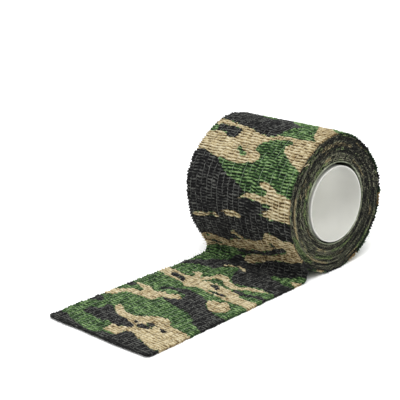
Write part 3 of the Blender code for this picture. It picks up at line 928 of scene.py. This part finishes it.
def make_fibres(name, first_s, last_s, count, seed):
    """Loose fibres that stand off the puffs: short curved hairs, thicker sown along the cut edges."""
    number = np.arange(count)

    def chance(offset):
        return hashed(number, number * 0 + offset, seed)

    s = first_s + (last_s - first_s) * chance(1)
    spread = 2 * chance(2) - 1
    at_edge = chance(3) < FIBRES_AT_EDGES
    v = np.where(at_edge, np.sign(spread) * (HALF_WIDTH - EDGE_BAND * chance(4)), spread * HALF_WIDTH)
    length = FIBRE_LENGTH * (0.5 + chance(5))
    heading = TAU * chance(6)
    outward = np.where(at_edge, EDGE_SPLAY * np.sign(v), 0)
    steep = 0.15 + 0.6 * chance(7)
    root = PUFF_HEIGHT * crinkle(s, v) - PUFF_SINK - FIBRE_ROOT
    curl = 2.4 * chance(8) - 1.2
    t = np.linspace(0, 1, FIBRE_POINTS)[None, :]
    angle = heading[:, None] + curl[:, None] * t
    along = s[:, None] + length[:, None] * t * FIBRE_SLANT * np.cos(angle)
    across = v[:, None] + length[:, None] * t * (FIBRE_SLANT * np.sin(angle) + outward[:, None])
    rise = root[:, None] + length[:, None] * steep[:, None] * t * (1.3 - 0.6 * t)
    along = np.maximum(along, 0)
    centres = on_tape(along.ravel(), across.ravel(), rise.ravel(), lowest=2 * FIBRE_RADIUS)
    centres = centres.reshape(count, FIBRE_POINTS, 3)
    forward = np.gradient(centres, axis=1)
    side = np.cross(forward, centres[:, :1] * 0 + (0.31, 0.27, 0.91))
    side /= np.linalg.norm(side, axis=2, keepdims=True)
    up = np.cross(side, forward)
    up /= np.linalg.norm(up, axis=2, keepdims=True)
    corners = np.arange(FIBRE_SIDES) * TAU / FIBRE_SIDES
    taper = FIBRE_RADIUS * (1.15 - 0.7 * t)[..., None, None]
    ring = side[:, :, None] * np.cos(corners)[:, None] + up[:, :, None] * np.sin(corners)[:, None]
    points = (centres[:, :, None] + taper * ring).reshape(-1, 3)
    size = FIBRE_POINTS * FIBRE_SIDES
    faces = [face for i in number for face in tube_faces(FIBRE_POINTS, FIBRE_SIDES, start=i * size)]
    values = tape_values(s, v, 0.55 + 0.45 * chance(9))
    values = {label: np.repeat(value, size, 0) for label, value in values.items()}
    return make_object(name, points, faces, PRINTED_WEB, values)


# -------- the roll

SKIN_THICKNESS = 0.5
TEETH_HEIGHT = 0.26
TEETH_DROP = 0.10
EDGE_SHADE = 0.25


def make_outer_wrap():
    """The outermost wrap, all the way round, starting and ending at the peel line."""
    rows = whole_steps(CIRCUMFERENCE, STEP_S)
    columns = whole_steps(2 * HALF_WIDTH, STEP_V)
    s, v = grid(PEEL_S, PEEL_S + CIRCUMFERENCE * (1 - 1 / rows), rows - 1, columns)
    side = np.sign(v)
    v = v + side * smoothstep(HALF_WIDTH - CORNER_REACH, HALF_WIDTH, np.abs(v)) * cut_edge(s, side)
    lift = crinkle(s, v)
    edge = edge_share(s, v, has_end=False)
    at_edge = TEETH_HEIGHT * edge_teeth(s, side) - TEETH_DROP
    top = on_tape(s, v, PUFF_HEIGHT * lift - PUFF_SINK + at_edge * edge**2)
    back = on_tape(thinned(s), thinned(v), -SKIN_THICKNESS)
    values = tape_values(s, v, lift * (1 - EDGE_SHADE * edge))
    return closed_sheet("outer_wrap_web", top, back, PRINTED_WEB, values, BACK_LIFT, ring=True)


def make_wrap_thread(number, v):
    count = round(CIRCUMFERENCE / THREAD_STEP)
    s = PEEL_S + np.arange(count) * CIRCUMFERENCE / count
    return make_thread(f"wrap_thread_{number:02d}", s, v, closed=True)


# Streaks of print that show on the near end: from and to in degrees, inner and outer radius
END_STREAKS = {
    "tan": [(60, 110, 20.5, 21.9), (160, 200, 21, 22.5), (126, 165, 19.1, 19.9), (203, 232, 20.5, 21.1),
        (222, 256, 21.2, 22.2), (232, 250, 16.9, 18), (18, 52, 16.5, 17.4), (84, 118, 18.9, 19.4),
        (268, 284, 19.4, 20.2), (144, 156, 16.8, 18), (330, 342, 20.6, 22.2), (198, 216, 15.9, 16.6),
        (284, 300, 22.8, 24), (44, 66, 23, 24), (96, 108, 16.4, 17.4)],
    "green": [(100, 132, 15.5, 17), (138, 182, 15.6, 17.2), (195, 235, 21.9, 24), (292, 322, 22.4, 24),
        (8, 40, 24, 25), (60, 92, 19, 19.9), (236, 262, 19.2, 20.6), (104, 140, 22, 23.2),
        (180, 196, 15.6, 16.8), (66, 80, 23.6, 25), (262, 300, 17, 18), (150, 176, 20, 20.8)],
}


def end_streaks(colour, angles, radii):
    """How deep each point is inside the near end's streaks of a colour, in millimetres."""
    depth = np.full(angles.shape, -EDGE_REACH)
    for first, last, low, high in END_STREAKS[colour]:
        along = np.minimum(angles - math.radians(first), math.radians(last) - angles) * radii
        depth = np.maximum(depth, np.minimum(along, 2 * np.minimum(radii - low, high - radii)))
    return depth


WRAP_COUNT = 13
END_RADIAL_STEPS = 60
END_ANGLE_STEPS = 720
END_DEPTH = 0.62
END_RECESS = 0.10
END_UNEVENNESS = 0.16
# How much of a turn's print the next wrap's edge skips, and how far the wraps sway with the rows of puffs
WRAP_SHIFT = 0.37
WRAP_SWAY = 0.20


def make_wound_tape():
    """The wraps under the outer one: each end shows their edges as a spiral of frayed, crinkled ridges."""
    inner, outer = LINER_RADIUS + 0.08, ROLL_RADIUS - SKIN_THICKNESS - 0.04
    pitch = (outer - inner) / WRAP_COUNT
    around = np.arange(END_ANGLE_STEPS) * TAU / END_ANGLE_STEPS
    angles, radii = np.meshgrid(around, np.linspace(inner, outer, END_RADIAL_STEPS + 1), indexing="ij")
    points, values = [], {"tan": [], "dark": [], "lift": [], "tape": []}
    for side in (-1, 1):
        turns = (outer - radii) / pitch + angles / TAU
        run = (turns - (turns % 1)) * CIRCUMFERENCE * WRAP_SHIFT + angles * radii * side
        sway = WRAP_SWAY * np.sin(TAU * angles * radii / ROW_PITCH + 5 * np.floor(turns))
        turns = turns + sway * np.minimum(1, (outer - radii) / 0.6)
        turns = turns + 0.25 * noise(angles * 20, radii, 2, 1.5, 51 + side)
        wrap = np.floor(turns)
        across = turns - wrap
        bead = (4 * across * (1 - across)) ** 0.55
        beat = 0.62 + 0.34 * noise(run, wrap * 7, 0.6, 1, 53)
        grit = layered(run, radii, WOUND_GRIT)
        # A random tone for each wrap, and painted shade that darkens each end towards +x, the roll's right
        # side
        wrap_tone_and_painted_shade = 0.42 * noise(run, wrap * 3.7, 13, 1, 62) - 0.10 * np.cos(angles)
        lift = np.clip(bead * beat + grit + wrap_tone_and_painted_shade, 0, 1)
        reach = HALF_WIDTH - END_RECESS + END_UNEVENNESS * (hashed(wrap, wrap * 0 + side, 55) - 0.5)
        y = side * (reach - END_DEPTH * (1 - lift))
        squeezed = radii - out_of_round(angles, side * HALF_WIDTH) * (radii - inner) / (outer - inner)
        ring = np.stack([ROLL_X + squeezed * np.cos(angles), y, ROLL_Z + squeezed * np.sin(angles)], -1)
        points.append(ring.reshape(-1, 3))
        speck = layered(run, radii, WOUND_SPECKS)
        if side < 0:
            tan = np.maximum(end_streaks("tan", angles, radii), -0.9) + 1.1 * speck - 0.2
            green = np.maximum(end_streaks("green", angles, radii), -0.7) + 1.3 * speck - 0.1
        else:
            tan = 1.4 * noise(run, wrap * 2.3, 12, 1, 57) - 0.5 + 0.5 * speck
            green = 1.3 * noise(run, wrap * 3.1, 17, 1, 56) - 0.3 + 0.9 * speck
        values["dark"].append(-np.maximum(tan, green).ravel())
        values["tan"].append(tan.ravel())
        values["lift"].append(lift.ravel())
        values["tape"].append(np.stack([run * 1.5, radii * 2.5, wrap * 4.0], -1).reshape(-1, 3))
    near = np.arange(angles.size).reshape(angles.shape)
    near = np.vstack([near, near[:1]])
    far = near + angles.size
    faces = grid_faces(near) + grid_faces(far, flip=True)
    faces += grid_faces(np.stack([near[:, 0], far[:, 0]]))
    faces += grid_faces(np.stack([near[:, -1], far[:, -1]]), flip=True)
    values = {label: np.concatenate(parts) for label, parts in values.items()}
    return make_object("wound_wraps", np.concatenate(points), faces, WOUND_EDGE, values)


LINER_BEVEL = 0.1
LINER_SHOULDER = 0.2
LINER_RAGGEDNESS = 0.05


def make_liner():
    """The tape's bare start, a thin ring with a soft uneven edge."""
    half = liner_high.y / MM
    inner, outer = LINER_RADIUS - LINER_WALL, LINER_RADIUS
    profile = [(inner, half - LINER_SHOULDER), (inner + LINER_BEVEL, half),
               (outer - LINER_BEVEL, half), (outer, half - LINER_SHOULDER)]
    obj = lathe("liner_ring", profile, LINER_PAPER, (ROLL_X, ROLL_Z))
    for vertex in obj.data.vertices:
        angle = math.atan2(vertex.co.z / MM - ROLL_Z, vertex.co.x / MM - ROLL_X)
        wave = math.sin(9 * angle + 1.0) + math.sin(23 * angle) + math.sin(41 * angle + 2.0)
        if abs(vertex.co.y) / MM > half - 0.3:
            vertex.co.y += math.copysign(LINER_RAGGEDNESS * (wave - 3), vertex.co.y) * MM
    return obj


CORE_RIM = 0.2
CORE_CORNER = [math.radians(a) for a in (0, 22.5, 45, 67.5, 90)]


def make_core():
    """The moulded core, with its rims rounded over."""
    inner, outer = CORE_RADIUS - CORE_WALL + CORE_RIM, CORE_RADIUS - CORE_RIM
    top = core_high.y / MM - CORE_RIM
    profile = [(inner - CORE_RIM * math.cos(a), top + CORE_RIM * math.sin(a)) for a in CORE_CORNER]
    profile += [(outer + CORE_RIM * math.sin(a), top + CORE_RIM * math.cos(a)) for a in CORE_CORNER]
    return lathe("core_sleeve", profile, CORE_PLASTIC, (CORE_X, CORE_Z))


STRAY_ANGLE = math.radians(127)
STRAY_RADIUS = 0.15


def make_stray_thread():
    """A cut end of elastic that stands off the near end of the roll."""
    t = np.linspace(0, 1, 9)
    across = ROLL_RADIUS - 2.6 + 1.9 * t + 0.25 * np.sin(5 * t)
    swing = STRAY_ANGLE + 0.07 * t + 0.015 * np.sin(8 * t)
    y = -HALF_WIDTH - 0.15 - 0.35 * np.sin(math.pi * t)
    centres = np.stack([ROLL_X + across * np.cos(swing), y, ROLL_Z + across * np.sin(swing)], -1)
    pale = {"tan": np.ones(t.size), "dark": -np.ones(t.size), "tape": centres}
    return tube("stray_thread", centres, STRAY_RADIUS, ELASTIC_THREAD, pale, sides=6)


# -------- assembling

tape_face = make_tape_face()
tape_back = make_tape_back()
outer_wrap = make_outer_wrap()
wound_wraps = make_wound_tape()
liner_ring = make_liner()
core_sleeve = make_core()
stray_thread = make_stray_thread()
tape_fibres = make_fibres("tape_fibres", 0.2, PEEL_S, TAPE_FIBRES, 61)
wrap_fibres = make_fibres("wrap_fibres", PEEL_S, PEEL_S + CIRCUMFERENCE, WRAP_FIBRES, 62)

for number, v in enumerate(thread_places(), 1):
    thread = make_tape_thread(number, v)
    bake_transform(thread)
    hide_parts(f"tail_thread_{number:02d}")
    loop = make_wrap_thread(number, v)
    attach(loop, "roll")

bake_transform(tape_face)
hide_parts("bend_face_web", "tail_face_web")

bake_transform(tape_back)
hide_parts("bend_back_web", "tail_back_web")

for piece, body, node, slot in (
    (outer_wrap, "roll", "outer_wrap", "printed_web"),
    (wound_wraps, "roll", "wound_tape", "wound_edge"),
    (liner_ring, "roll", "core_liner", "liner_paper"),
    (core_sleeve, "core", "core_tube", "core_plastic"),
):
    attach(piece, body)
    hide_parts(node)
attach(wrap_fibres, "roll")
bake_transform(tape_fibres)
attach(stray_thread, "roll")

# -------- floor, light and camera

FLOOR_REACH = 3.0
FLOOR_GREYS = [0.94, 0.96]
LIGHT_TARGET = (0, 0, 0.02)
LIGHT_SIZE = 1.4


def make_floor():
    corners = [(x * FLOOR_REACH, y * FLOOR_REACH, 0) for x, y in ((-1, -1), (1, -1), (1, 1), (-1, 1))]
    mesh = bpy.data.meshes.new("floor")
    mesh.from_pydata(corners, [], [(0, 1, 2, 3)])
    n = Nodes("floor")
    place = n.add("TexCoord").outputs["Object"]
    colour = n.ramp(n.noise(place, 3.0), *((i, (grey, grey, grey, 1)) for i, grey in enumerate(FLOOR_GREYS)))
    mesh.materials.append(n.surface(colour, 1.0, Specular_IOR_Level=0.0))
    return link(bpy.data.objects.new("floor", mesh))


def make_area_light(name, place, watts):
    light = bpy.data.lights.new(name, "AREA")
    light.shape = "DISK"
    light.size = LIGHT_SIZE
    light.energy = watts
    obj = link(bpy.data.objects.new(name, light))
    obj.location = place
    obj.rotation_euler = (Vector(LIGHT_TARGET) - Vector(place)).to_track_quat("-Z", "Y").to_euler()


def make_world(horizon, zenith):
    """White surroundings, dimmer at the horizon than overhead."""
    world = bpy.data.worlds.new("studio")
    world.use_nodes = True
    nodes, links = world.node_tree.nodes, world.node_tree.links
    background = nodes["Background"]
    background.inputs["Color"].default_value = (1, 1, 1, 1)
    direction = nodes.new("ShaderNodeTexCoord").outputs["Generated"]
    height = nodes.new("ShaderNodeSeparateXYZ")
    links.new(direction, height.inputs[0])
    strength = nodes.new("ShaderNodeMapRange")
    strength.inputs["To Min"].default_value = horizon
    strength.inputs["To Max"].default_value = zenith
    links.new(height.outputs["Z"], strength.inputs["Value"])
    links.new(strength.outputs["Result"], background.inputs["Strength"])
    bpy.context.scene.world = world


CAMERA_PLACE = (-0.2928, -0.3006, 0.1750)
CAMERA_YAW = math.radians(46.58)
CAMERA_PITCH = math.radians(18.91)
CAMERA_ROLL = math.radians(-3.74)
CAMERA_LENS = 114.3


def make_camera():
    forward = Vector((math.cos(CAMERA_PITCH) * math.cos(CAMERA_YAW),
                      math.cos(CAMERA_PITCH) * math.sin(CAMERA_YAW), -math.sin(CAMERA_PITCH)))
    level = Vector((math.sin(CAMERA_YAW), -math.cos(CAMERA_YAW), 0))
    upright = level.cross(forward)
    right = math.cos(CAMERA_ROLL) * level + math.sin(CAMERA_ROLL) * upright
    up = math.cos(CAMERA_ROLL) * upright - math.sin(CAMERA_ROLL) * level
    camera = bpy.data.cameras.new("camera")
    camera.lens = CAMERA_LENS
    camera.sensor_width = 36
    camera.clip_start = 0.01
    obj = link(bpy.data.objects.new("camera", camera))
    turn = Matrix((right, up, -forward)).transposed().to_4x4()
    obj.matrix_world = Matrix.Translation(CAMERA_PLACE) @ turn
    bpy.context.scene.camera = obj


make_floor()
make_area_light("key", (-0.60, -0.85, 2.25), 27.5)
make_area_light("fill", (-1.75, -1.25, 1.30), 3.2)
make_world(horizon=0.29, zenith=1.83)
make_camera()
bpy.context.scene.view_settings.view_transform = "Standard"
